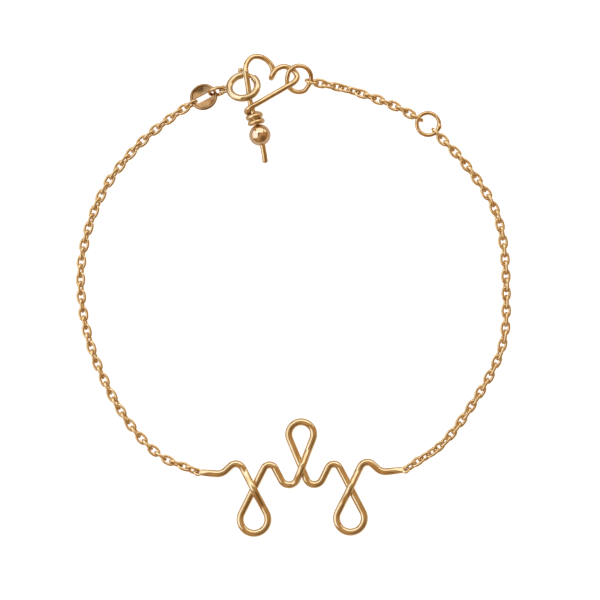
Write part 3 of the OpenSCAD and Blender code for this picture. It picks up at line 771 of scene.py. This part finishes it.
def make_tag():
    """Dished disc with a rounded, slightly raised rim and a slot with round ends."""
    eyelet, direction = clasp_link_ends()
    hook = eyelet + (CLASP_LINK_L - CLASP_LINK_WIRE) * direction
    level = plan(TAG_HEADING)
    up = cos(radians(TAG_ROLL)) * UP - sin(radians(TAG_ROLL)) * plan(TAG_HEADING + 90)
    land_z = TAG_DISH_R - sqrt((TAG_DISH_R - TAG_T / 2) ** 2 - ((TAG_D + SLOT_L) / 4) ** 2)
    at = hook + (SLOT_L / 2 - CLASP_LINK_WIRE / 2 - SLOT_SLACK) * level - land_z * up
    place = aim(at, level, TAG_ROLL)

    def dish(radius, start, end):
        """Profile of one face of the sheet, between two distances from its middle."""
        return [(r, TAG_DISH_R - sqrt(radius ** 2 - r ** 2))
                for r in np.linspace(start, end, DISH_STEPS + 1)]

    outer_r = TAG_D / 2
    top = dish(TAG_DISH_R - TAG_T, 0, outer_r - 2 * RIM_R)
    bottom = dish(TAG_DISH_R, outer_r - RIM_INSET, 0)
    rim_z = top[-1][1] + RIM_RISE - RIM_R
    rim = [(outer_r - RIM_R + x, rim_z + y) for x, y in arc(RIM_R, RIM_FROM, RIM_TO, RIM_STEPS)]
    piece = raw_object("slotted_tag", revolved(top + rim + bottom, TAG_SIDES), place)
    run = (SLOT_L - SLOT_W) / 2
    half_round = arc(SLOT_W / 2, 0, pi, HALF_ROUND_STEPS)
    outline = [(run + x, y) for x, y in half_round] + [(-run - x, -y) for x, y in half_round]
    slot = skin([[(x, y, z) for x, y in outline] for z in (TAG_CUT_FROM, TAG_CUT_TO)])
    combine(piece, raw_object("slot", slot, place), "DIFFERENCE")
    finish_piece(piece, "tag_disc", "tag", sharp_angle=35)


# Table, light and camera
def make_table():
    """White table. Reflections show the lower part of the room in its place."""
    corners = [(x * TABLE_HALF, y * TABLE_HALF, TABLE_Z)
               for x, y in ((-1, -1), (1, -1), (1, 1), (-1, 1))]
    table = raw_object("table", (corners, [(0, 1, 2, 3)]))
    table.data.materials.append(matt("table_white", TABLE_COLOUR, TABLE_GLOW))
    table.visible_glossy = False


def make_world():
    """Dim room: pale tan below, brown above, and darker in two places."""
    world = bpy.data.worlds.new("room")
    bpy.context.scene.world = world
    nodes = Nodes(world, "Generated")
    background = nodes.tree.nodes["Background"]
    split = nodes.new("ShaderNodeSeparateXYZ")
    nodes.link(nodes.place, split.inputs["Vector"])
    height = nodes.span(split.outputs["Z"], 0, 1, -1, 1)
    nodes.link(nodes.ramp(height, ROOM_COLOURS), background.inputs["Color"])
    both = nodes.new("ShaderNodeMath", operation="MULTIPLY")
    for (towards, outer, inner, left), factor in zip(SHADES, both.inputs):
        nearness = nodes.new("ShaderNodeVectorMath", operation="DOT_PRODUCT")
        nearness.inputs[1].default_value = unit(towards)
        nodes.link(nodes.place, nearness.inputs[0])
        nodes.link(nodes.span(nearness.outputs["Value"], 1, left, cos(radians(outer)),
                              cos(radians(inner)), "SMOOTHSTEP"), factor)
    nodes.link(both.outputs["Value"], background.inputs["Strength"])


def softbox(name, side, height, size, radiance, colour, bar):
    """Area light that faces the object, and may have a dark bar along its upper edge."""
    away = LIGHT_AWAY * slant(side, height)
    facing = Vector(away).to_track_quat("Z", "Y")
    data = bpy.data.lights.new(name, "AREA")
    data.shape = "RECTANGLE"
    data.size, data.size_y = size
    data.energy = radiance * pi * size[0] * size[1]
    data.color = colour
    lamp = bpy.data.objects.new(name, data)
    lamp.location = away
    lamp.rotation_euler = facing.to_euler()
    lamp.visible_camera = False
    bpy.context.scene.collection.objects.link(lamp)
    if bar:
        half, low = size[0] / 2 / MM, size[1] / 2 / MM
        corners = [(x, y, 0) for y in (low, low + bar / MM) for x in (-half, half)]
        strip = raw_object(name + "_bar", (corners, [(0, 1, 3, 2)]),
                           Matrix.Translation(Vector(away) / MM) @ facing.to_matrix().to_4x4())
        strip.data.materials.append(BAR_MATERIAL)
        strip.visible_camera = strip.visible_shadow = strip.visible_diffuse = False


def make_camera():
    """Straight down on the photo's middle, with the photo's whole width in view."""
    data = bpy.data.cameras.new("camera")
    data.lens, data.sensor_width = LENS, SENSOR
    data.clip_end = CLIP_END
    distance = PHOTO_PIXELS * PIXEL_MM * MM * LENS / SENSOR
    camera = bpy.data.objects.new("camera", data)
    camera.location = (PHOTO_MIDDLE[0] * MM, PHOTO_MIDDLE[1] * MM, distance + CHAIN_Z * MM)
    bpy.context.scene.collection.objects.link(camera)
    bpy.context.scene.camera = camera


make_camera()
make_scroll_wire()
for chain in ("chain_left", "chain_right", "chain_extension"):
    make_chain(chain)
make_adjuster_ring()
make_jump_ring()
make_heart_wire()
make_bead()
make_spring_ring()
make_spring_lever()
make_clasp_link()
make_tag()
make_table()
make_world()
for name, values in SOFTBOXES.items():
    softbox(name, *values)
bpy.context.scene.view_settings.view_transform = "Standard"
